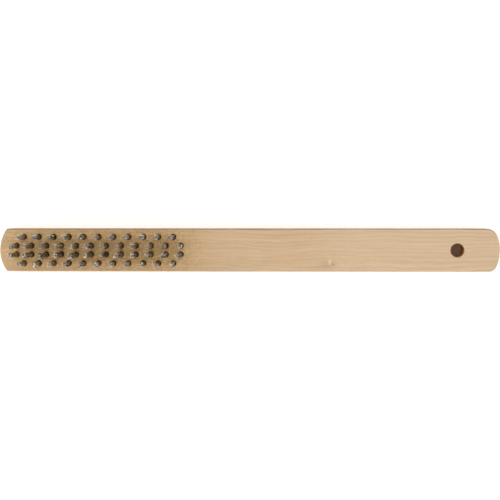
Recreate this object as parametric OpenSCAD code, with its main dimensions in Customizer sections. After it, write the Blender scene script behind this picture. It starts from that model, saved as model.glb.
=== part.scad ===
// Straight wire brush: one hardwood stick is both handle and brush head. Each tuft of steel wire is
// folded in half, pushed into a blind hole and held there by a short piece of flat wire, the anchor,
// which lies across the fold and bites into the wood at both ends.
// Lengths are in millimetres. The stick lies along X on its back, with its bristles up (+Z).
// The origin is the centre of the stick's back.

/* [Stick] */
// Overall length of the stick
stick_length = 290; // [260:1:400]
// Width of the stick
stick_width = 25; // [24:0.5:40]
// Thickness of the stick
stick_thickness = 12; // [11:0.5:20]
// Rounding along the four long edges
edge_radius = 0.8; // [0.3:0.1:2]
// Radius of the arc that ends the stick at its bristle end
head_arc_radius = 21; // [20:0.5:60]
// Radius of the arc that ends the stick at its handle end
tail_arc_radius = 24.5; // [24:0.5:60]
// Rounding of the handle end's corner on the +Y side
tail_corner_far = 7; // [3:0.5:10]
// Rounding of the handle end's corner on the -Y side
tail_corner_near = 4.5; // [3:0.5:10]

/* [Hanging hole] */
// Diameter of the hanging hole
hang_hole_diameter = 8; // [4:0.5:12]
// Distance from the handle end to the centre of the hanging hole
hang_hole_inset = 24.5; // [15:0.5:40]

/* [Tufts] */
// Number of tufts in each of the two middle rows; each outer row has one fewer
middle_row_tufts = 12; // [4:1:16]
// Distance from the first to the last tuft of a middle row
tuft_field_length = 95.7; // [80:0.1:120]
// Distance between neighbouring rows
row_pitch = 5.1; // [4.5:0.1:5.5]
// Distance from the bristle end to the first tuft of a middle row
tuft_field_inset = 9.8; // [7:0.1:20]
// Diameter of the blind holes that the tufts sit in
tuft_hole_diameter = 3.5; // [3.4:0.1:3.8]
// Depth of the blind holes, to where the drill's point begins
tuft_hole_depth = 8; // [6:0.5:8.5]
// Height of the trimmed wire ends above the wood
trim_length = 20; // [10:1:40]
// Diameter of a tuft where it leaves its hole
tuft_mouth_diameter = 2.6; // [2.2:0.1:3.3]
// Diameter of a tuft at its trimmed end
tuft_tip_diameter = 2.6; // [2.2:0.1:4]
// Outward lean of a row, in degrees for each millimetre from the stick's centre line
lean_per_mm = 0.1; // [0:0.05:0.4]

/* [Anchors] */
// Length of an anchor, which is more than the hole's diameter so that its ends bite
anchor_length = 4.6; // [4.2:0.1:5]
// Height of an anchor's flat side
anchor_height = 1.6; // [1:0.1:2]
// Thickness of an anchor
anchor_thickness = 0.5; // [0.3:0.1:0.8]

/* [Hidden] */
row_count = 4;
tuft_pitch = tuft_field_length / (middle_row_tufts - 1);
half_length = stick_length / 2;
half_width = stick_width / 2;
hang_hole_x = half_length - hang_hole_inset;
tuft_clearance = 0.05; // between a tuft and the wall of its hole
drill_point_angle = 118;
drill_point_depth = tuft_hole_diameter / 2 / tan(drill_point_angle / 2);
fold_thickness = 0.9; // wire under the anchor, where the tuft is folded
anchor_base = fold_thickness - tuft_hole_depth; // underside of an anchor, from the wood's surface
anchor_top = anchor_base + anchor_height;
anchor_bevel = 0.5; // the anchor's lower corners are cut off, so that they wedge into the wood
overlap = 1; // how far a cutting shape runs past the surface that it cuts

$fn = 96;

// Rows count from the +Y side, and the tufts in a row from the bristle end.
function row_y(row) = row_pitch * ((row_count + 1) / 2 - row);
function is_outer(row) = row == 1 || row == row_count;
function tufts_in(row) = middle_row_tufts - (is_outer(row) ? 1 : 0);
function tuft_x(row, i) = tuft_field_inset - half_length + tuft_pitch * (i - (is_outer(row) ? 0.5 : 1));
function row_lean(row) = -lean_per_mm * row_y(row);
function two_digits(i) = str(i < 10 ? "0" : "", i);
function tuft_name(row, i) = str("tuft_row", row, "_", two_digits(i));
function anchors_name(row) = str("anchors_row", row);

// Puts a shape at a tuft's place, with its origin in the mouth of the hole and its +Z out of the wood.
module at_tuft(row, i) {
    translate([tuft_x(row, i), row_y(row), stick_thickness]) rotate([row_lean(row), 0, 0]) children();
}

// The stick's cross-section in Y and Z, with rounded corners.
module stick_section() {
    for (y = [-1, 1]) for (z = [0, 1])
        translate([y * (half_width - edge_radius), z ? stick_thickness - edge_radius : edge_radius])
            circle(r = edge_radius);
    translate([-half_width + edge_radius, 0]) square([stick_width - 2 * edge_radius, stick_thickness]);
    translate([-half_width, edge_radius]) square([stick_width, stick_thickness - 2 * edge_radius]);
}

// The waste outside the rounding between a side of the stick and the arc of its handle end.
module tail_corner_waste(radius, side) {
    arc_centre_x = half_length - tail_arc_radius;
    centre_y = half_width - radius;
    centre_x = arc_centre_x + sqrt(pow(tail_arc_radius - radius, 2) - pow(centre_y, 2));
    away = [centre_x - arc_centre_x, centre_y] / (tail_arc_radius - radius);
    reach = radius + overlap;
    mirror([0, side < 0 ? 1 : 0]) difference() {
        polygon([
            [centre_x, centre_y],
            [centre_x, centre_y + reach],
            [centre_x + 2 * reach, centre_y + reach],
            [centre_x + away[0] * 2 * reach, centre_y + away[1] * 2 * reach]
        ]);
        translate([centre_x, centre_y]) circle(r = radius);
    }
}

// The stick's ends in X and Y. It is wider than the stick, whose section cuts its sides.
module stick_outline() {
    difference() {
        union() {
            translate([-half_length + head_arc_radius, 0]) circle(r = head_arc_radius);
            translate([-half_length + head_arc_radius, -stick_width])
                square([stick_length - head_arc_radius - tail_arc_radius, 2 * stick_width]);
            translate([half_length - tail_arc_radius, 0]) circle(r = tail_arc_radius);
        }
        tail_corner_waste(tail_corner_far, 1);
        tail_corner_waste(tail_corner_near, -1);
    }
}

// A blind hole as the drill leaves it, with the point's cone at its bottom.
module tuft_hole() {
    translate([0, 0, -tuft_hole_depth]) cylinder(d = tuft_hole_diameter, h = tuft_hole_depth + overlap);
    translate([0, 0, -tuft_hole_depth - drill_point_depth])
        cylinder(r1 = 0, r2 = tuft_hole_diameter / 2, h = drill_point_depth);
}

// An anchor stands on edge along the grain, with its lower corners cut off.
module anchor_shape() {
    half = anchor_length / 2;
    translate([0, anchor_thickness / 2, anchor_base]) rotate([90, 0, 0]) linear_extrude(anchor_thickness)
        polygon([
            [-half, anchor_bevel],
            [-half + anchor_bevel, 0],
            [half - anchor_bevel, 0],
            [half, anchor_bevel],
            [half, anchor_height],
            [-half, anchor_height]
        ]);
}

// A tuft's half profile, from the folded end at the bottom of the hole to past the trimmed end.
module tuft_profile() {
    neck = tuft_hole_diameter / 2 - tuft_clearance;
    fold_radius = neck / 2;
    bottom = tuft_clearance - tuft_hole_depth;
    top = trim_length + overlap;
    translate([neck - fold_radius, bottom + fold_radius]) intersection() {
        circle(r = fold_radius);
        translate([0, -fold_radius]) square(fold_radius);
    }
    translate([0, bottom]) square([neck - fold_radius, fold_radius]);
    polygon([
        [0, bottom + fold_radius],
        [neck, bottom + fold_radius],
        [neck, anchor_top],
        [tuft_mouth_diameter / 2, 0],
        [tuft_tip_diameter / 2, trim_length],
        [tuft_tip_diameter / 2, top],
        [0, top]
    ]);
}

module handle_block() {
    color("burlywood") difference() {
        intersection() {
            linear_extrude(stick_thickness) stick_outline();
            translate([-half_length - overlap, 0, 0]) rotate([90, 0, 90])
                linear_extrude(stick_length + 2 * overlap) stick_section();
        }
        translate([hang_hole_x, 0, -overlap])
            cylinder(d = hang_hole_diameter, h = stick_thickness + 2 * overlap);
        for (row = [1 : row_count]) for (i = [1 : tufts_in(row)]) at_tuft(row, i) {
            tuft_hole();
            anchor_shape();
        }
    }
}

// All the wires of one tuft as one solid, cut level at the trimmed end and slit for its anchor.
module tuft(row, i) {
    color("dimgray") difference() {
        intersection() {
            at_tuft(row, i) rotate_extrude() tuft_profile();
            translate([-half_length, -half_width, 0])
                cube([stick_length, stick_width, stick_thickness + trim_length]);
        }
        at_tuft(row, i) anchor_shape();
    }
}

module anchors(row) {
    color("silver") for (i = [1 : tufts_in(row)]) at_tuft(row, i) anchor_shape();
}

handle_block();
for (row = [1 : row_count]) for (i = [1 : tufts_in(row)])
    tuft(row, i);
for (row = [1 : row_count])
    anchors(row);
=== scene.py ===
"""Looks of the straight wire brush: a hardwood stick, tufts of crimped steel wire and their anchors.

Lengths are in metres, except inside the materials, which measure the model in millimetres.
The stick lies along X on its back, with its handle end at +X, and the bristles point up (+Z).
"""

import math
import random

import bpy
import numpy
from mathutils import Matrix, Vector, geometry, noise


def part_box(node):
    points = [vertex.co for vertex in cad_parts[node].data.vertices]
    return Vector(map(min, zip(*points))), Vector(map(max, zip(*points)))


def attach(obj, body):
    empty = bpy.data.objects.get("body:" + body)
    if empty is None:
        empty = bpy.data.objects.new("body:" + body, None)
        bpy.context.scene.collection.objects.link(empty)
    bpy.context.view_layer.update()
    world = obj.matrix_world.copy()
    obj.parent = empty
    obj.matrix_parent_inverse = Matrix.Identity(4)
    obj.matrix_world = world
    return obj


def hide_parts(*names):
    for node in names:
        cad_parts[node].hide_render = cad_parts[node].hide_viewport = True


MM = 0.001
SEED = 20

# The stick's plan, as the CAD solid has it, with the head end's two corners eased by hand sanding.
HEAD_ARC = 21 * MM
HEAD_CORNER = 1.0 * MM
TAIL_ARC = 24.5 * MM
TAIL_CORNER_FAR = 7 * MM
TAIL_CORNER_NEAR = 4.5 * MM
EDGE_ROUNDING = 0.75 * MM
EDGE_UNEVENNESS = 0.18

HANG_HOLE_RADIUS = 4 * MM
HANG_HOLE_INSET = 24.5 * MM
HANG_HOLE_RIM = 0.3 * MM
HANG_HOLE_SIDES = 72
TUFT_HOLE_RADIUS = 1.75 * MM
TUFT_HOLE_DEPTH = 8 * MM
TUFT_HOLE_RIM = 0.12 * MM
TUFT_HOLE_SIDES = 28
DRILL_POINT_DEPTH = 1.05 * MM
HOLE_RAGGEDNESS = 0.05 * MM

# The flat faces' inner points: how far apart they are, and how far from the outline and the holes.
FACE_SPACING = 3.1 * MM
FACE_MARGIN = 1.2 * MM
HOLE_MARGIN = 0.6 * MM

# The wires of a tuft, folded round their anchor. Heights are from the mouth of the hole.
WIRE_RADIUS = 0.2 * MM
WIRE_SPACING = 0.43 * MM
WIRE_PLAY = 0.01 * MM
WIRE_SIDES = 6
FOLD_LAYERS = (5, 4)
FOLD_STEPS = 6
FOLD_HEIGHT = -7.05 * MM
LEG_START = FOLD_HEIGHT + 0.9 * MM
ANCHOR_TOP = -5.5 * MM
ANCHOR_HALF_THICKNESS = 0.25 * MM
ANCHOR_CLEARANCE = 0.06 * MM
TRIM_LENGTH = 20 * MM
TRIM_UNEVENNESS = 0.35 * MM
SHEAR_SLOPE = 0.6

# The crimp: it begins LEAD_IN below the mouth and is full at the same distance above it.
CRIMP_LENGTH = 3.8 * MM
CRIMP_DEPTH = 0.2 * MM
CRIMP_STEPS = 6
CRIMP_DEPTH_RANGE = (0.7, 1.2)
CRIMP_LENGTH_RANGE = (0.92, 1.08)
CRIMP_PHASE_SPREAD = 0.9
CRIMP_HEADING_SPREAD = 0.6
LEAD_IN = 2.5 * MM
MOUTH_CLOSING = 0.08 * MM

# How far each row's tufts have been bent along X by use, and how much the tufts and their wires vary
# about that in X and Y, all per unit of height. A few wires stray further outward. At its root a wire
# leans by ROOT_SLOPE of its mean lean.
ROW_BEND = {"1": 0.035, "2": 0.03, "3": -0.01, "4": 0.045}
TUFT_SWAY = (0.014, 0.008)
WIRE_SWAY = (0.018, 0.014)
STRAY_CHANCE = 0.04
STRAY_RANGE = (0.02, 0.06)
ROOT_SLOPE = 0.6

# How the legs of a tuft are moved apart: the distance sought, the least that one is taken to be, and
# how often, how hard and how smoothly they move.
WIRE_DISTANCE = 0.425 * MM
LEAST_DISTANCE = 0.01 * MM
PARTING_ROUNDS = 60
PARTING_STRENGTH = 0.6
PARTING_SMOOTHING = 0.3

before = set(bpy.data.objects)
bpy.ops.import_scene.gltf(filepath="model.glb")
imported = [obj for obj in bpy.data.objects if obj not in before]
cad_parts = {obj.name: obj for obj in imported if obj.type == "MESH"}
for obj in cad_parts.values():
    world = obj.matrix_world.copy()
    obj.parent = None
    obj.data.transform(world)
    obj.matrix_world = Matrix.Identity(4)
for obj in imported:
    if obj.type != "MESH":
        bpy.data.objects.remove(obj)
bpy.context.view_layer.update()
STICK_LOW, STICK_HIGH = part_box("handle_block")
STICK_TOP = STICK_HIGH.z
HALF_LENGTH = (STICK_HIGH.x - STICK_LOW.x) / 2
HALF_WIDTH = (STICK_HIGH.y - STICK_LOW.y) / 2
TUFT_NODES = sorted(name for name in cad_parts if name.startswith("tuft_row"))
ANCHOR_NODES = sorted(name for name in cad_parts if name.startswith("anchors_row"))


# ---------------------------------------------------------------- camera, floor and light

CAMERA_HEIGHT = 0.728
CAMERA_ASIDE = Vector((0.019, 0.025))
AIM_ASIDE = Vector((0.0007, 0.0001))
SENSOR_WIDTH = 36
VIEW_HALF_WIDTH = HALF_LENGTH * 0.999

# The light tent: its brightness, and the dark opening at its top, in degrees from straight up.
TENT_BRIGHTNESS = 1.99
OPENING_BRIGHTNESS = 0.15
TENT_OPENING_INNER = 22
TENT_OPENING_OUTER = 38

# Soft boxes: name, place, width and power in watts.
SOFT_BOXES = [
    ("soft_box_near_left", (-0.75, -0.85, 0.95), 0.9, 2.8),
    ("soft_box_far", (0.2, 1.1, 0.5), 0.7, 1.2),
]
FLOOR_REACH = 6.0
FLOOR_GAP = 0.1 * MM


def aim(item, place, target):
    """Puts a camera or light at a place, looking at a target, with +Y towards the top of its view."""
    back = (Vector(place) - Vector(target)).normalized()
    right = Vector((0, 1, 0)).cross(back).normalized()
    turn = Matrix((right, back.cross(right), back)).transposed()
    item.location = place
    item.rotation_euler = turn.to_euler()


def make_camera():
    """The camera stands almost straight above the middle of the stick, which spans its whole view."""
    data = bpy.data.cameras.new("camera")
    camera = bpy.data.objects.new("camera", data)
    bpy.context.scene.collection.objects.link(camera)
    target = Vector((AIM_ASIDE.x, AIM_ASIDE.y, STICK_TOP))
    place = Vector((CAMERA_ASIDE.x, CAMERA_ASIDE.y, STICK_TOP + CAMERA_HEIGHT))
    aim(camera, place, target)
    data.sensor_width = SENSOR_WIDTH
    data.lens = SENSOR_WIDTH / 2 * (place - target).length / VIEW_HALF_WIDTH
    data.clip_start = 0.01
    data.clip_end = 20
    bpy.context.scene.camera = camera


def make_light(name, place, size, power):
    """A square soft box that faces the middle of the stick's back."""
    data = bpy.data.lights.new(name, "AREA")
    data.shape = "SQUARE"
    data.size = size
    data.energy = power
    light = bpy.data.objects.new(name, data)
    bpy.context.scene.collection.objects.link(light)
    aim(light, place, (0, 0, 0))


def make_world():
    """A bright tent all round, open and darker at its top, where the photographer stands."""
    world = bpy.data.worlds.new("light_tent")
    world.use_nodes = True
    tree = world.node_tree
    direction = tree.nodes.new("ShaderNodeTexCoord").outputs["Generated"]
    split = tree.nodes.new("ShaderNodeSeparateXYZ")
    tree.links.new(direction, split.inputs[0])
    opening = tree.nodes.new("ShaderNodeMapRange")
    opening.interpolation_type = "SMOOTHSTEP"
    opening.inputs["From Min"].default_value = math.cos(math.radians(TENT_OPENING_OUTER))
    opening.inputs["From Max"].default_value = math.cos(math.radians(TENT_OPENING_INNER))
    opening.inputs["To Min"].default_value = TENT_BRIGHTNESS
    opening.inputs["To Max"].default_value = OPENING_BRIGHTNESS
    tree.links.new(split.outputs["Z"], opening.inputs["Value"])
    tree.links.new(opening.outputs["Result"], tree.nodes["Background"].inputs["Strength"])
    tree.nodes["Background"].inputs["Color"].default_value = (1, 1, 1, 1)
    bpy.context.scene.world = world


def make_stage():
    """A white floor in the tent, with a soft box at the near left and a weaker one on the far side."""
    scene = bpy.context.scene
    scene.view_settings.view_transform = "Standard"
    make_world()
    for box in SOFT_BOXES:
        make_light(*box)

    mesh = bpy.data.meshes.new("floor")
    reach = FLOOR_REACH
    corners = [(-reach, -reach, 0), (reach, -reach, 0), (reach, reach, 0), (-reach, reach, 0)]
    mesh.from_pydata(corners, [], [(0, 1, 2, 3)])
    floor = bpy.data.objects.new("floor", mesh)
    scene.collection.objects.link(floor)
    floor.location.z = -FLOOR_GAP
    paper = Nodes("white_floor")
    mesh.materials.append(paper.finish(Base_Color=(0.98, 0.98, 0.98, 1), Roughness=0.9))


# ---------------------------------------------------------------- material helpers


class Nodes:
    """One material's node tree, with a short call for each kind of node that the materials here use."""

    def __init__(self, name):
        self.material = bpy.data.materials.new(name)
        self.material.use_nodes = True
        self.tree = self.material.node_tree
        self.tree.nodes.clear()

    def add(self, kind, **settings):
        node = self.tree.nodes.new("ShaderNode" + kind)
        for key, value in settings.items():
            setattr(node, key, value)
        return node

    def put(self, socket, value):
        """Links a socket to another node's output, or sets it to a constant."""
        if isinstance(value, bpy.types.NodeSocket):
            self.tree.links.new(value, socket)
        else:
            socket.default_value = value

    def place(self):
        """The point being shaded, in millimetres in the model's frame."""
        return self.vector("SCALE", self.add("TexCoord").outputs["Object"], scale=1000.0)

    def vector(self, operation, a, b=None, scale=None):
        node = self.add("VectorMath", operation=operation)
        self.put(node.inputs[0], a)
        if b is not None:
            self.put(node.inputs[1], b)
        if scale is not None:
            self.put(node.inputs["Scale"], scale)
        return node.outputs["Value" if operation in ("LENGTH", "DOT_PRODUCT") else "Vector"]

    def maths(self, operation, a, b=0.0):
        node = self.add("Math", operation=operation)
        self.put(node.inputs[0], a)
        self.put(node.inputs[1], b)
        return node.outputs[0]

    def split(self, vector):
        node = self.add("SeparateXYZ")
        self.put(node.inputs[0], vector)
        return node.outputs

    def join(self, x, y, z):
        node = self.add("CombineXYZ")
        for socket, value in zip(node.inputs, (x, y, z)):
            self.put(socket, value)
        return node.outputs[0]

    def noise(self, vector, scale=1.0, detail=2.0, roughness=0.5, colour=False):
        """Smooth noise from 0 to 1, or three such noises as a colour."""
        node = self.add("TexNoise")
        self.put(node.inputs["Vector"], vector)
        node.inputs["Scale"].default_value = scale
        node.inputs["Detail"].default_value = detail
        node.inputs["Roughness"].default_value = roughness
        return node.outputs["Color" if colour else "Fac"]

    def ellipse(self, x, y, centre, radii):
        """Distance from an ellipse's centre, which is 1 on the ellipse itself."""
        along = self.maths("DIVIDE", self.maths("SUBTRACT", x, centre[0]), radii[0])
        across = self.maths("DIVIDE", self.maths("SUBTRACT", y, centre[1]), radii[1])
        return self.vector("LENGTH", self.join(along, across, 0.0))

    def cells(self, vector):
        """The distance to the nearest of many scattered points, and a random colour for that point."""
        node = self.add("TexVoronoi", feature="F1")
        self.put(node.inputs["Vector"], vector)
        node.inputs["Scale"].default_value = 1.0
        return node.outputs["Distance"], node.outputs["Color"]

    def rescale(self, value, low, high, to_low=0.0, to_high=1.0, smooth=False):
        """Maps low..high to to_low..to_high, and holds the ends."""
        node = self.add("MapRange", clamp=True)
        node.interpolation_type = "SMOOTHSTEP" if smooth else "LINEAR"
        self.put(node.inputs["Value"], value)
        ends = (low, high, to_low, to_high)
        for name, end in zip(("From Min", "From Max", "To Min", "To Max"), ends):
            self.put(node.inputs[name], end)
        return node.outputs["Result"]

    def mix(self, factor, a, b, blend="MIX"):
        """Mixes two colours."""
        node = self.add("Mix", data_type="RGBA", blend_type=blend)
        self.put(node.inputs[0], factor)
        self.put(node.inputs[6], a)
        self.put(node.inputs[7], b)
        return node.outputs[2]

    def ramp(self, value, stops):
        """A colour ramp: stops are (position, colour)."""
        node = self.add("ValToRGB")
        self.put(node.inputs[0], value)
        elements = node.color_ramp.elements
        while len(elements) < len(stops):
            elements.new(1.0)
        for element, (position, colour) in zip(elements, stops):
            element.position = position
            element.color = colour
        return node.outputs["Color"]

    def attribute(self, name):
        return self.add("Attribute", attribute_name=name).outputs["Fac"]

    def bump(self, height, distance_mm):
        """A bump whose height runs from 0 to distance_mm."""
        node = self.add("Bump")
        node.inputs["Strength"].default_value = 1.0
        node.inputs["Distance"].default_value = distance_mm * MM
        self.put(node.inputs["Height"], height)
        return node.outputs["Normal"]

    def finish(self, **inputs):
        """Ends the tree in one Principled shader. Underscores in names stand for spaces."""
        shader = self.add("BsdfPrincipled")
        for name, value in inputs.items():
            self.put(shader.inputs[name.replace("_", " ")], value)
        output = self.add("OutputMaterial")
        self.tree.links.new(shader.outputs[0], output.inputs["Surface"])
        return self.material


# ---------------------------------------------------------------- wood

WOOD_PALE = (0.430, 0.310, 0.190, 1)
WOOD_TAN = (0.358, 0.242, 0.140, 1)
WOOD_LATE = (0.294, 0.188, 0.101, 1)
WOOD_WARM = (0.420, 0.285, 0.150, 1)
WOOD_WHITE = (0.480, 0.370, 0.255, 1)
WOOD_FLECK = (0.33, 0.19, 0.095, 1)
KNOT_RIM = (0.27, 0.16, 0.07, 1)
KNOT_EYE = (0.54, 0.43, 0.23, 1)
RUST = (0.26, 0.135, 0.055, 1)
RUBBED_WOOD = (0.56, 0.40, 0.20, 1)
END_GRAIN = (0.430, 0.282, 0.160, 1)
END_GRAIN_LATE = (0.30, 0.18, 0.092, 1)
END_PORE = (0.17, 0.095, 0.045, 1)
BORED_PALE = (0.47, 0.245, 0.075, 1)
BORED_SCORCHED = (0.33, 0.160, 0.045, 1)
# The pin knot's place in X and Y, and the pith's, outside the stick, in Y and Z.
KNOT_PLACE = (46.9, -6.9)
PITH_PLACE = (-62.0, -34.0)
RING_WIDTH = 1.9
# Painted shade: the darker, warmer tint that stands in for the bristles' shade on the wood round them.
FIELD_SHADE_TINT = (1.03, 0.915, 0.61, 1)
# Painted shade for the far side wall and, darker, for its upper edge.
FAR_SIDE_SHADE = (0.82, 0.78, 0.74, 1)
FAR_EDGE_SHADE = (0.50, 0.50, 0.52, 1)
# Between these places along X the painted shade and the rust specks round the tufts are strongest, and past
# the second they fade over the given distance.
FIELD_START = -131
FIELD_END = -46
FIELD_FADE = 30


def make_wood():
    """Sanded, uncoated beech: ring lines, wavy fibres, flecks, a pin knot, end grain and bored walls."""
    n = Nodes("beech_wood")
    place = n.place()
    x, y, z = n.split(place)

    # The grain wanders a little across the stick, and swells round the knot.
    slow = n.vector("MULTIPLY", place, (0.012, 0.05, 0.05))
    wander = n.vector("SUBTRACT", n.noise(slow, detail=1.0, colour=True), (0.5, 0.5, 0.5))
    wander = n.vector("MULTIPLY", wander, (0.0, 5.0, 5.0))
    ripple = n.vector("MULTIPLY", place, (0.06, 0.11, 0.11))
    ripple = n.vector("SUBTRACT", n.noise(ripple, detail=1.0, colour=True), (0.5, 0.5, 0.5))
    wander = n.vector("ADD", wander, n.vector("MULTIPLY", ripple, (0.0, 2.2, 2.2)))
    knot_x = n.maths("SUBTRACT", x, KNOT_PLACE[0])
    knot_y = n.maths("SUBTRACT", y, KNOT_PLACE[1])
    knot_reach = n.ellipse(knot_x, knot_y, centre=(0.0, 0.0), radii=(7.0, 2.6))
    swell = n.rescale(knot_reach, 0.0, 1.0, 1.0, 0.0, smooth=True)
    grain = n.vector("ADD", place, wander)
    _, gy, gz = n.split(grain)
    gy = n.maths("ADD", gy, n.maths("MULTIPLY", swell, -0.9))
    along_grain = n.join(x, gy, gz)

    # Growth rings round a pith that lies outside the stick.
    pith_y, pith_z = PITH_PLACE
    from_pith = n.join(0.0, n.maths("SUBTRACT", gy, pith_y), n.maths("SUBTRACT", gz, pith_z))
    from_pith = n.vector("LENGTH", from_pith)
    uneven = n.noise(n.join(n.maths("MULTIPLY", x, 0.004), n.maths("MULTIPLY", from_pith, 0.35), 0.0))
    ring = n.maths("ADD", n.maths("DIVIDE", from_pith, RING_WIDTH), n.maths("MULTIPLY", uneven, 1.6))
    ring = n.maths("FRACT", ring)
    late = n.ramp(ring, [(0.0, (0.55, 0.55, 0.55, 1)), (0.1, (0, 0, 0, 1)), (0.6, (0.15, 0.15, 0.15, 1)),
                         (0.93, (0.9, 0.9, 0.9, 1)), (1.0, (0.55, 0.55, 0.55, 1))])

    # Fibres: three sizes of lengthwise streak.
    broad = n.noise(n.vector("MULTIPLY", along_grain, (0.016, 0.34, 0.34)), detail=3.0)
    streak = n.noise(n.vector("MULTIPLY", along_grain, (0.085, 1.35, 1.35)), detail=3.0, roughness=0.6)
    fine = n.noise(n.vector("MULTIPLY", along_grain, (0.22, 6.0, 6.0)), detail=2.0, roughness=0.6)

    tone = n.maths("ADD", n.rescale(streak, 0.3, 0.7), n.rescale(broad, 0.3, 0.7))
    tone = n.maths("MULTIPLY", tone, 0.5)
    colour = n.mix(n.rescale(tone, 0.15, 0.85, 0.0, 0.95), WOOD_PALE, WOOD_TAN)
    ring_contrast = n.rescale(x, 30.0, 130.0, 0.42, 0.75)
    colour = n.mix(n.maths("MULTIPLY", late, ring_contrast), colour, WOOD_LATE)
    warm = n.noise(n.vector("MULTIPLY", along_grain, (0.03, 0.5, 0.5)), detail=2.0)
    colour = n.mix(n.rescale(warm, 0.52, 0.72, 0.0, 0.45), colour, WOOD_WARM)
    paler = n.rescale(n.maths("ADD", x, n.maths("MULTIPLY", broad, 24.0)), 38.0, 78.0, smooth=True)
    colour = n.mix(n.maths("MULTIPLY", paler, 0.28), colour, WOOD_WHITE)
    pores = n.rescale(fine, 0.60, 0.78)
    colour = n.mix(n.maths("MULTIPLY", pores, 0.6), colour, WOOD_LATE)

    # Ray flecks: short dark dashes along the grain.
    distance, pick = n.cells(n.vector("MULTIPLY", along_grain, (0.30, 1.3, 1.3)))
    chosen = n.rescale(n.split(pick)[0], 0.45, 0.55)
    fleck = n.maths("MULTIPLY", n.rescale(distance, 0.10, 0.26, 1.0, 0.0), chosen)
    colour = n.mix(n.maths("MULTIPLY", fleck, 0.42), colour, WOOD_FLECK)

    # The pin knot is a pale eye with a dark rim on its right and a dark trail on its left.
    eye = n.ellipse(knot_x, knot_y, centre=(0.0, 0.0), radii=(0.9, 2.1))
    rim = n.ellipse(knot_x, knot_y, centre=(1.8, -1.2), radii=(1.3, 0.9))
    trail_y = n.maths("ADD", knot_y, n.maths("MULTIPLY", knot_x, -0.09))
    trail = n.ellipse(knot_x, trail_y, centre=(-4.0, -2.1), radii=(7.5, 0.7))
    halo = n.ellipse(knot_x, knot_y, centre=(-1.0, -1.2), radii=(8.0, 3.4))
    colour = n.mix(n.rescale(halo, 0.2, 1.0, 0.42, 0.0, smooth=True), colour, WOOD_LATE)
    colour = n.mix(n.rescale(trail, 0.2, 1.0, 0.55, 0.0), colour, WOOD_LATE)
    colour = n.mix(n.rescale(rim, 0.3, 1.0, 0.75, 0.0), colour, KNOT_RIM)
    colour = n.mix(n.rescale(eye, 0.3, 1.15, 0.6, 0.0), colour, KNOT_EYE)

    # Round the tufts the wood is painted darker and warmer, as painted shade and warm bounced light under
    # the bristles, fading away from them; rust specks and rubbed specks lie over the same zone.
    past_field = n.rescale(x, FIELD_END, FIELD_END + FIELD_FADE, 1.0, 0.0)
    field_shade_and_specks = n.maths("POWER", past_field, 1.5)
    field_shade_and_specks = n.maths("MULTIPLY", field_shade_and_specks, n.rescale(x, -HALF_LENGTH / MM, FIELD_START, 0.2, 1.0))
    field_shade_and_specks = n.maths("MULTIPLY", field_shade_and_specks, n.rescale(n.maths("ABSOLUTE", y), 6.0, 14.5, 1.0, 0.32))
    on_top = n.rescale(z, STICK_TOP / MM - 3, STICK_TOP / MM - 0.2, 0.0, 1.0)
    field_shade_and_specks = n.maths("MULTIPLY", field_shade_and_specks, on_top)
    # Painted shade under the bristles.
    colour = n.mix(field_shade_and_specks, colour, FIELD_SHADE_TINT, blend="MULTIPLY")
    specks = n.noise(n.vector("MULTIPLY", place, (0.85, 1.2, 1.2)), detail=2.0, roughness=0.6)
    rusty = n.maths("MULTIPLY", field_shade_and_specks, n.rescale(specks, 0.52, 0.62, 0.0, 0.50))
    colour = n.mix(rusty, colour, RUST)
    rubbed = n.maths("MULTIPLY", field_shade_and_specks, n.rescale(specks, 0.38, 0.49, 0.52, 0.0))
    colour = n.mix(rubbed, colour, RUBBED_WOOD)

    # Painted shade: the far side is a little darker, and its upper edge, which turns away from the light,
    # darker still.
    normal_x, normal_y, normal_z = n.split(n.add("NewGeometry").outputs["Normal"])
    colour = n.mix(n.rescale(normal_y, 0.2, 0.9), colour, FAR_SIDE_SHADE, blend="MULTIPLY")
    painted_edge_shade = n.maths("MULTIPLY", n.rescale(normal_y, 0.1, 0.4), n.rescale(normal_z, 0.0, 0.25))
    colour = n.mix(painted_edge_shade, colour, FAR_EDGE_SHADE, blend="MULTIPLY")

    # End grain is darker, and dotted with pores instead of streaked.
    end = n.rescale(n.maths("ABSOLUTE", normal_x), 0.45, 0.95, smooth=True)
    dots, _ = n.cells(n.vector("MULTIPLY", grain, (0.5, 4.5, 4.5)))
    end_colour = n.mix(n.maths("MULTIPLY", late, 0.75), END_GRAIN, END_GRAIN_LATE)
    end_colour = n.mix(n.rescale(dots, 0.12, 0.30, 0.6, 0.0), end_colour, END_PORE)
    colour = n.mix(end, colour, end_colour)

    # Walls that the drill cut are torn and scorched a little.
    bored = n.attribute("bored")
    scorch = n.rescale(n.noise(n.vector("MULTIPLY", place, (0.6, 0.6, 2.2)), detail=3.0), 0.3, 0.7)
    wall_colour = n.mix(scorch, BORED_PALE, BORED_SCORCHED)
    colour = n.mix(n.rescale(bored, 0.15, 0.9), colour, wall_colour)

    height = n.maths("ADD", n.maths("MULTIPLY", fine, 0.6), n.maths("MULTIPLY", streak, 0.4))
    height = n.maths("SUBTRACT", height, n.maths("MULTIPLY", pores, 0.5))
    height = n.maths("ADD", height, n.maths("MULTIPLY", n.maths("MULTIPLY", scorch, bored), 1.5))
    roughness = n.rescale(fine, 0.3, 0.7, 0.56, 0.70)
    return n.finish(
        Base_Color=colour,
        Roughness=roughness,
        Specular_IOR_Level=0.35,
        Normal=n.bump(height, 0.035),
    )


# ---------------------------------------------------------------- steel


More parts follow.
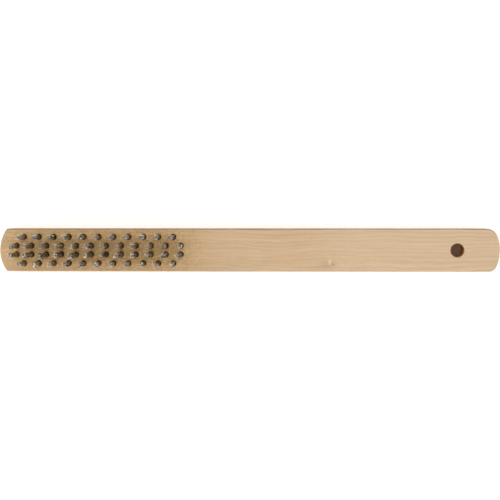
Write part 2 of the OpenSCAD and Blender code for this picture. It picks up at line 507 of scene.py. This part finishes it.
STRAND_TONES = [
    (0.0, (0.11, 0.105, 0.095, 1)),
    (0.4, (0.33, 0.33, 0.31, 1)),
    (0.7, (0.45, 0.46, 0.44, 1)),
    (1.0, (0.80, 0.82, 0.79, 1)),
]
STEEL_STAIN = (0.09, 0.075, 0.058, 1)
STEEL_CLEAN = (0.72, 0.74, 0.70, 1)
STEEL_RUST_TINT = (1.0, 0.68, 0.42, 1)
STEEL_SHEARED = (0.74, 0.77, 0.82, 1)
ANCHOR_PALE = (0.50, 0.49, 0.47, 1)
ANCHOR_DARK = (0.33, 0.30, 0.27, 1)


def make_wire_steel():
    """Drawn steel wire: each strand has its own tone, with stained and clean patches along it."""
    n = Nodes("steel_wire")
    place = n.place()
    strand = n.attribute("strand")
    stain = n.noise(n.vector("MULTIPLY", place, (0.95, 0.95, 0.32)), detail=2.0, roughness=0.6)
    tone = n.ramp(strand, STRAND_TONES)
    colour = n.mix(n.rescale(stain, 0.50, 0.55, 0.0, 0.85), tone, STEEL_STAIN)
    elsewhere = n.vector("ADD", n.vector("MULTIPLY", place, (1.0, 1.0, 0.28)), (31.0, 7.0, 0.0))
    clean = n.noise(elsewhere, detail=1.0)
    colour = n.mix(n.rescale(clean, 0.55, 0.59, 0.0, 0.85), colour, STEEL_CLEAN)

    # The roots are a little rustier than the tips. The near rows carry painted light and the far rows
    # painted shade.
    _, side, height = n.split(place)
    root = STICK_TOP / MM
    tip = (STICK_TOP + TRIM_LENGTH) / MM
    low_down = n.rescale(height, root - 2, root + 20, 0.55, 0.4, smooth=True)
    colour = n.mix(low_down, colour, STEEL_RUST_TINT, blend="MULTIPLY")
    sheared = n.rescale(height, tip - 1.0, tip - 0.3)
    colour = n.mix(n.maths("MULTIPLY", sheared, 0.12), colour, STEEL_SHEARED)
    # Painted light on the near rows, painted shade on the far ones, graded across Y.
    colour = n.vector("SCALE", colour, scale=n.rescale(side, -3.0, 8.0, 1.12, 0.85))
    draw = n.noise(n.vector("MULTIPLY", place, (22.0, 22.0, 1.2)), detail=1.0)
    roughness = n.maths("ADD", n.rescale(stain, 0.3, 0.75, 0.20, 0.40), n.rescale(draw, 0.3, 0.7, 0.0, 0.1))
    return n.finish(
        Base_Color=colour,
        Metallic=1.0,
        Roughness=roughness,
        Normal=n.bump(draw, 0.006),
    )


def make_anchor_steel():
    """Flat rolled wire, with roll marks along it and darker patches."""
    n = Nodes("anchor_steel")
    place = n.place()
    rolled = n.noise(n.vector("MULTIPLY", place, (0.5, 9.0, 9.0)), detail=3.0)
    patch = n.noise(place, scale=0.9, detail=3.0)
    colour = n.mix(n.rescale(patch, 0.4, 0.65), ANCHOR_PALE, ANCHOR_DARK)
    return n.finish(
        Base_Color=colour,
        Metallic=1.0,
        Roughness=n.rescale(rolled, 0.3, 0.7, 0.28, 0.45),
        Normal=n.bump(rolled, 0.01),
    )


# ---------------------------------------------------------------- the stick


class Shape:
    """A mesh in the making: points with their normals and one number each, and faces."""

    def __init__(self):
        self.points = []
        self.normals = []
        self.values = []
        self.faces = []
        self.sharp = []

    def add(self, point, normal, value=0.0):
        self.points.append(point)
        self.normals.append(normal)
        self.values.append(value)
        return len(self.points) - 1

    def bridge(self, ring, following):
        """Joins two closed rings of the same number of points with a band of four-sided faces."""
        count = len(ring)
        for k in range(count):
            m = (k + 1) % count
            self.faces.append((ring[k], ring[m], following[m], following[k]))

    def to_object(self, name, attribute):
        mesh = bpy.data.meshes.new(name)
        mesh.from_pydata(self.points, [], self.faces)
        values = mesh.attributes.new(attribute, "FLOAT", "POINT")
        values.data.foreach_set("value", self.values)
        mesh.shade_smooth()
        for k in self.sharp:
            mesh.polygons[k].use_smooth = False
        mesh.update()
        if self.normals[0] is not None:
            mesh.normals_split_custom_set_from_vertices(self.normals)
        piece = bpy.data.objects.new(name, mesh)
        bpy.context.scene.collection.objects.link(piece)
        return piece


def stick_outline():
    """(x, y, outward x, outward y) of points round the stick's plan, anticlockwise from above."""
    outline = []

    def arc(centre, radius, start, stop, steps):
        for k in range(steps):
            angle = start + (stop - start) * k / steps
            c, s = math.cos(angle), math.sin(angle)
            outline.append((centre[0] + radius * c, centre[1] + radius * s, c, s))

    def corner(end, arc_radius, radius):
        """Distance of a rounded corner's centre along X, and the angle at which it meets the end's arc."""
        rise = HALF_WIDTH - radius
        run = math.sqrt((arc_radius - radius) ** 2 - rise**2)
        return end * (HALF_LENGTH - arc_radius + run), math.atan2(rise, run)

    def side(start_x, stop_x, direction, steps):
        for k in range(steps):
            x = start_x + (stop_x - start_x) * k / steps
            outline.append((x, direction * HALF_WIDTH, 0.0, float(direction)))

    near_x, near_angle = corner(1, TAIL_ARC, TAIL_CORNER_NEAR)
    far_x, far_angle = corner(1, TAIL_ARC, TAIL_CORNER_FAR)
    head_x, head_angle = corner(-1, HEAD_ARC, HEAD_CORNER)
    quarter = math.pi / 2
    side_steps = 72
    arc((near_x, TAIL_CORNER_NEAR - HALF_WIDTH), TAIL_CORNER_NEAR, -quarter, -near_angle, 10)
    arc((HALF_LENGTH - TAIL_ARC, 0), TAIL_ARC, -near_angle, far_angle, 24)
    arc((far_x, HALF_WIDTH - TAIL_CORNER_FAR), TAIL_CORNER_FAR, far_angle, quarter, 16)
    side(far_x, head_x, 1, side_steps)
    arc((head_x, HALF_WIDTH - HEAD_CORNER), HEAD_CORNER, quarter, math.pi - head_angle, 5)
    arc((HEAD_ARC - HALF_LENGTH, 0), HEAD_ARC, math.pi - head_angle, math.pi + head_angle, 36)
    arc((head_x, HEAD_CORNER - HALF_WIDTH), HEAD_CORNER, math.pi + head_angle, 3 * quarter, 5)
    side(head_x, near_x, -1, side_steps)
    return outline


def edge_band(shape, outline, top):
    """The rounded edge and half of the side wall, from the flat face's rim to mid-height."""
    sign = 1 if top else -1
    face = STICK_HIGH.z if top else STICK_LOW.z
    steps = 6
    roundings = []
    for x, y, _, _ in outline:
        swing = noise.noise(Vector((x / (18 * MM), y / (18 * MM), 3.0 * sign)))
        roundings.append(EDGE_ROUNDING * (1 + EDGE_UNEVENNESS * 2 * swing))
    rings = []
    for k in range(steps + 1):
        angle = math.pi / 2 * k / steps
        ring = []
        for (x, y, nx, ny), rounding in zip(outline, roundings):
            inset = rounding * (1 - math.sin(angle))
            drop = rounding * (1 - math.cos(angle))
            point = (x - nx * inset, y - ny * inset, face - sign * drop)
            slope = math.sin(angle)
            ring.append(shape.add(point, (nx * slope, ny * slope, sign * math.cos(angle))))
        rings.append(ring)
    for ring, following in zip(rings, rings[1:]):
        shape.bridge(*((following, ring) if top else (ring, following)))
    return rings[0], rings[-1]


def hole_rings(shape, centre, lean, profile, sides, top=True):
    """Rings of a drilled wall. The profile has each ring's (radius, depth, tilt of normal, bored)."""
    sign = 1 if top else -1
    face = STICK_HIGH.z if top else STICK_LOW.z
    rings = []
    for radius, depth, tilt, bored in profile:
        ring = []
        for k in range(sides):
            angle = 2 * math.pi * k / sides
            c, s = math.cos(angle), math.sin(angle)
            ragged = noise.noise(Vector((centre[0] / MM + 2 * c, centre[1] / MM + 2 * s, depth / MM)))
            r = radius + HOLE_RAGGEDNESS * ragged * (1 - bored * 0.5)
            point = (centre[0] + r * c, centre[1] + r * s - lean * depth, face - sign * depth)
            inward = math.cos(tilt)
            ring.append(shape.add(point, (-c * inward, -s * inward, sign * math.sin(tilt)), bored))
        rings.append(ring)
    for ring, following in zip(rings, rings[1:]):
        shape.bridge(*((ring, following) if top else (following, ring)))
    return rings


def rim_profile(radius, rim):
    """The rounded rim of a hole, from the flat face to the wall."""
    profile = []
    for degrees in (90, 65, 40, 18, 0):
        tilt = math.radians(degrees)
        out = rim * (1 - math.cos(tilt))
        profile.append((radius + out, rim * (1 - math.sin(tilt)), tilt, 1 - degrees / 90))
    return profile


def flat_face(shape, rim_ring, hole_starts, top):
    """Fills a flat face between the stick's rim and the holes' rims with even triangles."""
    face = STICK_HIGH.z if top else STICK_LOW.z
    normal = (0.0, 0.0, 1.0 if top else -1.0)
    indices = list(rim_ring)
    edges = [(k, (k + 1) % len(rim_ring)) for k in range(len(rim_ring))]
    holes = []
    for _, ring in hole_starts:
        first = len(indices)
        indices += ring
        edges += [(first + k, first + (k + 1) % len(ring)) for k in range(len(ring))]
        holes.append(range(first, len(indices)))
    columns = int(2 * HALF_LENGTH / FACE_SPACING)
    rows = int(2 * HALF_WIDTH / FACE_SPACING)
    for i in range(1, columns):
        for j in range(1, rows):
            x = -HALF_LENGTH + 2 * HALF_LENGTH * i / columns
            y = -HALF_WIDTH + 2 * HALF_WIDTH * (j + 0.5 * (i % 2) - 0.25) / rows
            if clear_of_rims(x, y, hole_starts):
                indices.append(shape.add((x, y, face), normal))
    flat = [Vector(shape.points[k][:2]) / MM for k in indices]
    result = geometry.delaunay_2d_cdt(flat, edges, [], 1, 1e-5)
    triangles, sources = result[2], result[3]
    for triangle in triangles:
        places = [sources[k][0] for k in triangle]
        if not spans_hole(places, holes):
            corners = [indices[k] for k in places]
            shape.faces.append(tuple(corners) if top else tuple(reversed(corners)))


def spans_hole(places, holes):
    """True for a triangle inside a hole: its corners follow one another anticlockwise round the rim."""
    a, b, c = places
    in_order = a < b < c or b < c < a or c < a < b
    return in_order and any(a in hole and b in hole and c in hole for hole in holes)


def clear_of_rims(x, y, hole_starts):
    """True where a grid point is far enough from the stick's outline and from every hole."""
    margin = EDGE_ROUNDING + FACE_MARGIN
    if abs(y) > HALF_WIDTH - margin:
        return False
    head_centre = HEAD_ARC - HALF_LENGTH
    tail_centre = HALF_LENGTH - TAIL_ARC
    if x < head_centre and math.hypot(x - head_centre, y) > HEAD_ARC - margin:
        return False
    if x > tail_centre and math.hypot(x - tail_centre, y) > TAIL_ARC - margin - FACE_MARGIN:
        return False
    return all(math.hypot(x - c[0], y - c[1]) > r + HOLE_MARGIN for (c, r), _ in hole_starts)


def make_stick(tufts, wood):
    """The wooden stick with all its holes, as one closed mesh."""
    shape = Shape()
    outline = stick_outline()
    top_rim, top_waist = edge_band(shape, outline, top=True)
    bottom_rim, bottom_waist = edge_band(shape, outline, top=False)
    shape.bridge(bottom_waist, top_waist)

    top_holes = []
    blind = rim_profile(TUFT_HOLE_RADIUS, TUFT_HOLE_RIM)
    wall_depths = [1.0 * MM, 2.5 * MM, 5.0 * MM, TUFT_HOLE_DEPTH]
    blind += [(TUFT_HOLE_RADIUS, depth, 0.0, 1.0) for depth in wall_depths]
    for tuft in tufts:
        centre = (tuft.mouth.x, tuft.mouth.y)
        rings = hole_rings(shape, centre, tuft.lean, blind, TUFT_HOLE_SIDES)
        depth = TUFT_HOLE_DEPTH + DRILL_POINT_DEPTH
        tip = (centre[0], centre[1] - tuft.lean * depth, STICK_TOP - depth)
        apex = shape.add(tip, (0.0, 0.0, 1.0), 1.0)
        last = rings[-1]
        shape.faces += [(last[k], last[(k + 1) % len(last)], apex) for k in range(len(last))]
        top_holes.append(((centre, blind[0][0]), rings[0]))

    centre = (HALF_LENGTH - HANG_HOLE_INSET, 0.0)
    through = rim_profile(HANG_HOLE_RADIUS, HANG_HOLE_RIM)
    through += [(HANG_HOLE_RADIUS, depth, 0.0, 1.0) for depth in (1.5 * MM, 3.5 * MM, STICK_TOP / 2)]
    upper = hole_rings(shape, centre, 0.0, through, HANG_HOLE_SIDES)
    lower = hole_rings(shape, centre, 0.0, through[:-1], HANG_HOLE_SIDES, top=False)
    shape.bridge(upper[-1], lower[-1])
    hole = (centre, through[0][0])
    top_holes.append((hole, upper[0]))

    flat_face(shape, top_rim, top_holes, top=True)
    flat_face(shape, bottom_rim, [(hole, lower[0])], top=False)
    stick = shape.to_object("wooden_stick", "bored")
    stick.data.materials.append(wood)
    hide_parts("handle_block")
    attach(stick, "root")


# ---------------------------------------------------------------- the tufts


class Tuft:
    """Where the CAD model has a tuft: the mouth of its hole, and its lean in Y for each unit of height."""

    def __init__(self, node):
        self.node = node
        self.row = node.removeprefix("tuft_row").split("_")[0]
        points = [v.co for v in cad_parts[node].data.vertices]
        low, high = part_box(node)
        near = 0.1 * MM
        top = self.middle([p for p in points if p.z > high.z - near])
        bottom = self.middle([p for p in points if p.z < low.z + near])
        self.lean = (top.y - bottom.y) / (top.z - bottom.z)
        share = (STICK_TOP - bottom.z) / (top.z - bottom.z)
        self.mouth = bottom.lerp(top, share)

    @staticmethod
    def middle(points):
        low = Vector([min(p[k] for p in points) for k in range(3)])
        high = Vector([max(p[k] for p in points) for k in range(3)])
        return (low + high) / 2


def add_wire(shape, spine, strand, cuts):
    """A round wire along a line of points, with both ends sheared off flat but a little askew."""
    rings = []
    count = len(spine)
    for i, point in enumerate(spine):
        tangent = (spine[min(i + 1, count - 1)] - spine[max(i - 1, 0)]).normalized()
        across = (Vector((1, 0, 0)) - tangent * tangent.x).normalized()
        other = tangent.cross(across)
        skew, facing = {0: cuts[0], count - 1: cuts[1]}.get(i, (0.0, 0.0))
        ring = []
        for k in range(WIRE_SIDES):
            angle = 2 * math.pi * k / WIRE_SIDES
            normal = across * math.cos(angle) + other * math.sin(angle)
            askew = tangent * (skew * math.cos(angle - facing) * WIRE_RADIUS)
            place = point + normal * WIRE_RADIUS + askew
            ring.append(shape.add(place, None, strand))
        rings.append(ring)
    for ring, following in zip(rings, rings[1:]):
        shape.bridge(ring, following)
    shape.sharp += [len(shape.faces), len(shape.faces) + 1]
    shape.faces.append(tuple(reversed(rings[0])))
    shape.faces.append(tuple(rings[-1]))


def leg_points(start, splay, crimp, trim):
    """A wire's leg from beside the anchor to its trimmed end, in the tuft's own axes."""
    depth, length, phase, direction = crimp
    points = [Vector((start.x, start.y, z)) for z in (LEG_START, ANCHOR_TOP)]
    steps = round(TRIM_LENGTH / CRIMP_LENGTH * CRIMP_STEPS)
    mouth = Vector((start.x, start.y - math.copysign(MOUTH_CLOSING, start.y)))
    for k in range(steps + 1):
        z = -LEAD_IN + (trim + LEAD_IN) * k / steps
        height = max(z, 0.0)
        grow = min(1.0, (z + LEAD_IN) / (2 * LEAD_IN))
        wave = depth * grow * math.sin(2 * math.pi * z / length + phase)
        curve = ROOT_SLOPE + (1 - ROOT_SLOPE) * height / TRIM_LENGTH
        flat = mouth + splay * height * curve + direction * wave
        points.append(Vector((flat.x, flat.y, z)))
    return points


def part_wires(legs):
    """Eases the legs of a tuft apart, level by level, so that fewer run through one another."""
    start = numpy.array([[(point.x, point.y) for point in leg] for leg in legs])
    moved = numpy.zeros_like(start)
    beside_anchor = 2
    for _ in range(PARTING_ROUNDS):
        places = start + moved
        between = places[:, None] - places[None]
        distance = numpy.linalg.norm(between, axis=3)
        short = numpy.clip(WIRE_DISTANCE - distance, 0, None)
        push = short / numpy.maximum(distance, LEAST_DISTANCE) / 2
        moved += (between * push[..., None]).sum(axis=1) * PARTING_STRENGTH
        neighbours = moved[:, :-2] + moved[:, 2:]
        moved[:, 1:-1] = moved[:, 1:-1] * (1 - PARTING_SMOOTHING) + neighbours * PARTING_SMOOTHING / 2
        moved[:, :beside_anchor] = 0
    for leg, places in zip(legs, start + moved):
        for point, (x, y) in zip(leg, places):
            point.x, point.y = x, y


def draw_leg(start, tuft_sway, heading, phase, draws):
    """One leg of a wire, with its own sway, crimp and length drawn about its tuft's."""
    splay = tuft_sway + Vector([draws.gauss(0, spread) for spread in WIRE_SWAY])
    if draws.random() < STRAY_CHANCE:
        splay += start.normalized() * draws.uniform(*STRAY_RANGE)
    angle = heading + draws.uniform(-CRIMP_HEADING_SPREAD, CRIMP_HEADING_SPREAD)
    crimp = (
        CRIMP_DEPTH * draws.uniform(*CRIMP_DEPTH_RANGE),
        CRIMP_LENGTH * draws.uniform(*CRIMP_LENGTH_RANGE),
        phase + draws.uniform(-CRIMP_PHASE_SPREAD, CRIMP_PHASE_SPREAD),
        Vector((math.cos(angle), math.sin(angle))),
    )
    trim = TRIM_LENGTH - draws.uniform(0.0, TRIM_UNEVENNESS)
    return leg_points(start, splay, crimp, trim)


def fold_points(across, half_gap):
    """The half turn of a wire under its anchor."""
    points = []
    for step in range(FOLD_STEPS + 1):
        angle = math.pi * step / FOLD_STEPS
        height = FOLD_HEIGHT - half_gap * math.sin(angle)
        points.append(Vector((across, -half_gap * math.cos(angle), height)))
    return points


def make_tuft(tuft, wire_steel, draws):
    """Wires folded in half round their anchor, with both legs of each standing up as bristles."""
    shape = Shape()
    sway_x, sway_y = TUFT_SWAY
    tuft_sway = Vector((draws.gauss(ROW_BEND[tuft.row], sway_x), draws.gauss(0, sway_y)))
    heading = draws.uniform(0, 2 * math.pi)
    phase = draws.uniform(0, 2 * math.pi)
    turn = Matrix.Rotation(-math.atan(tuft.lean), 4, "X")
    wires = []
    for layer, count in enumerate(FOLD_LAYERS):
        half_gap = ANCHOR_HALF_THICKNESS + WIRE_RADIUS + ANCHOR_CLEARANCE + layer * WIRE_SPACING
        for k in range(count):
            across = (k - (count - 1) / 2) * WIRE_SPACING + draws.uniform(-WIRE_PLAY, WIRE_PLAY)
            starts = [Vector((across, side * half_gap)) for side in (-1, 1)]
            legs = [draw_leg(start, tuft_sway, heading, phase, draws) for start in starts]
            strand = draws.random()
            cuts = [(draws.uniform(0.0, SHEAR_SLOPE), draws.uniform(0, 2 * math.pi)) for _ in range(2)]
            wires.append((legs, fold_points(across, half_gap), strand, cuts))
    part_wires([leg for legs, _, _, _ in wires for leg in legs])
    for legs, fold, strand, cuts in wires:
        spine = [tuft.mouth + turn @ point for point in legs[0][::-1] + fold + legs[1]]
        add_wire(shape, spine, strand, cuts)
    name = tuft.node.replace("tuft", "wires")
    piece = shape.to_object(name, "strand")
    piece.data.materials.append(wire_steel)
    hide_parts(tuft.node)
    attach(piece, "root")


def main():
    make_camera()
    make_stage()
    tufts = [Tuft(node) for node in TUFT_NODES]
    make_stick(tufts, make_wood())
    wire_steel = make_wire_steel()
    draws = random.Random(SEED)
    for tuft in tufts:
        make_tuft(tuft, wire_steel, draws)
    anchor_steel = make_anchor_steel()
    for node in ANCHOR_NODES:
        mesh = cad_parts[node].data
        mesh.materials.clear()
        mesh.materials.append(anchor_steel)


main()
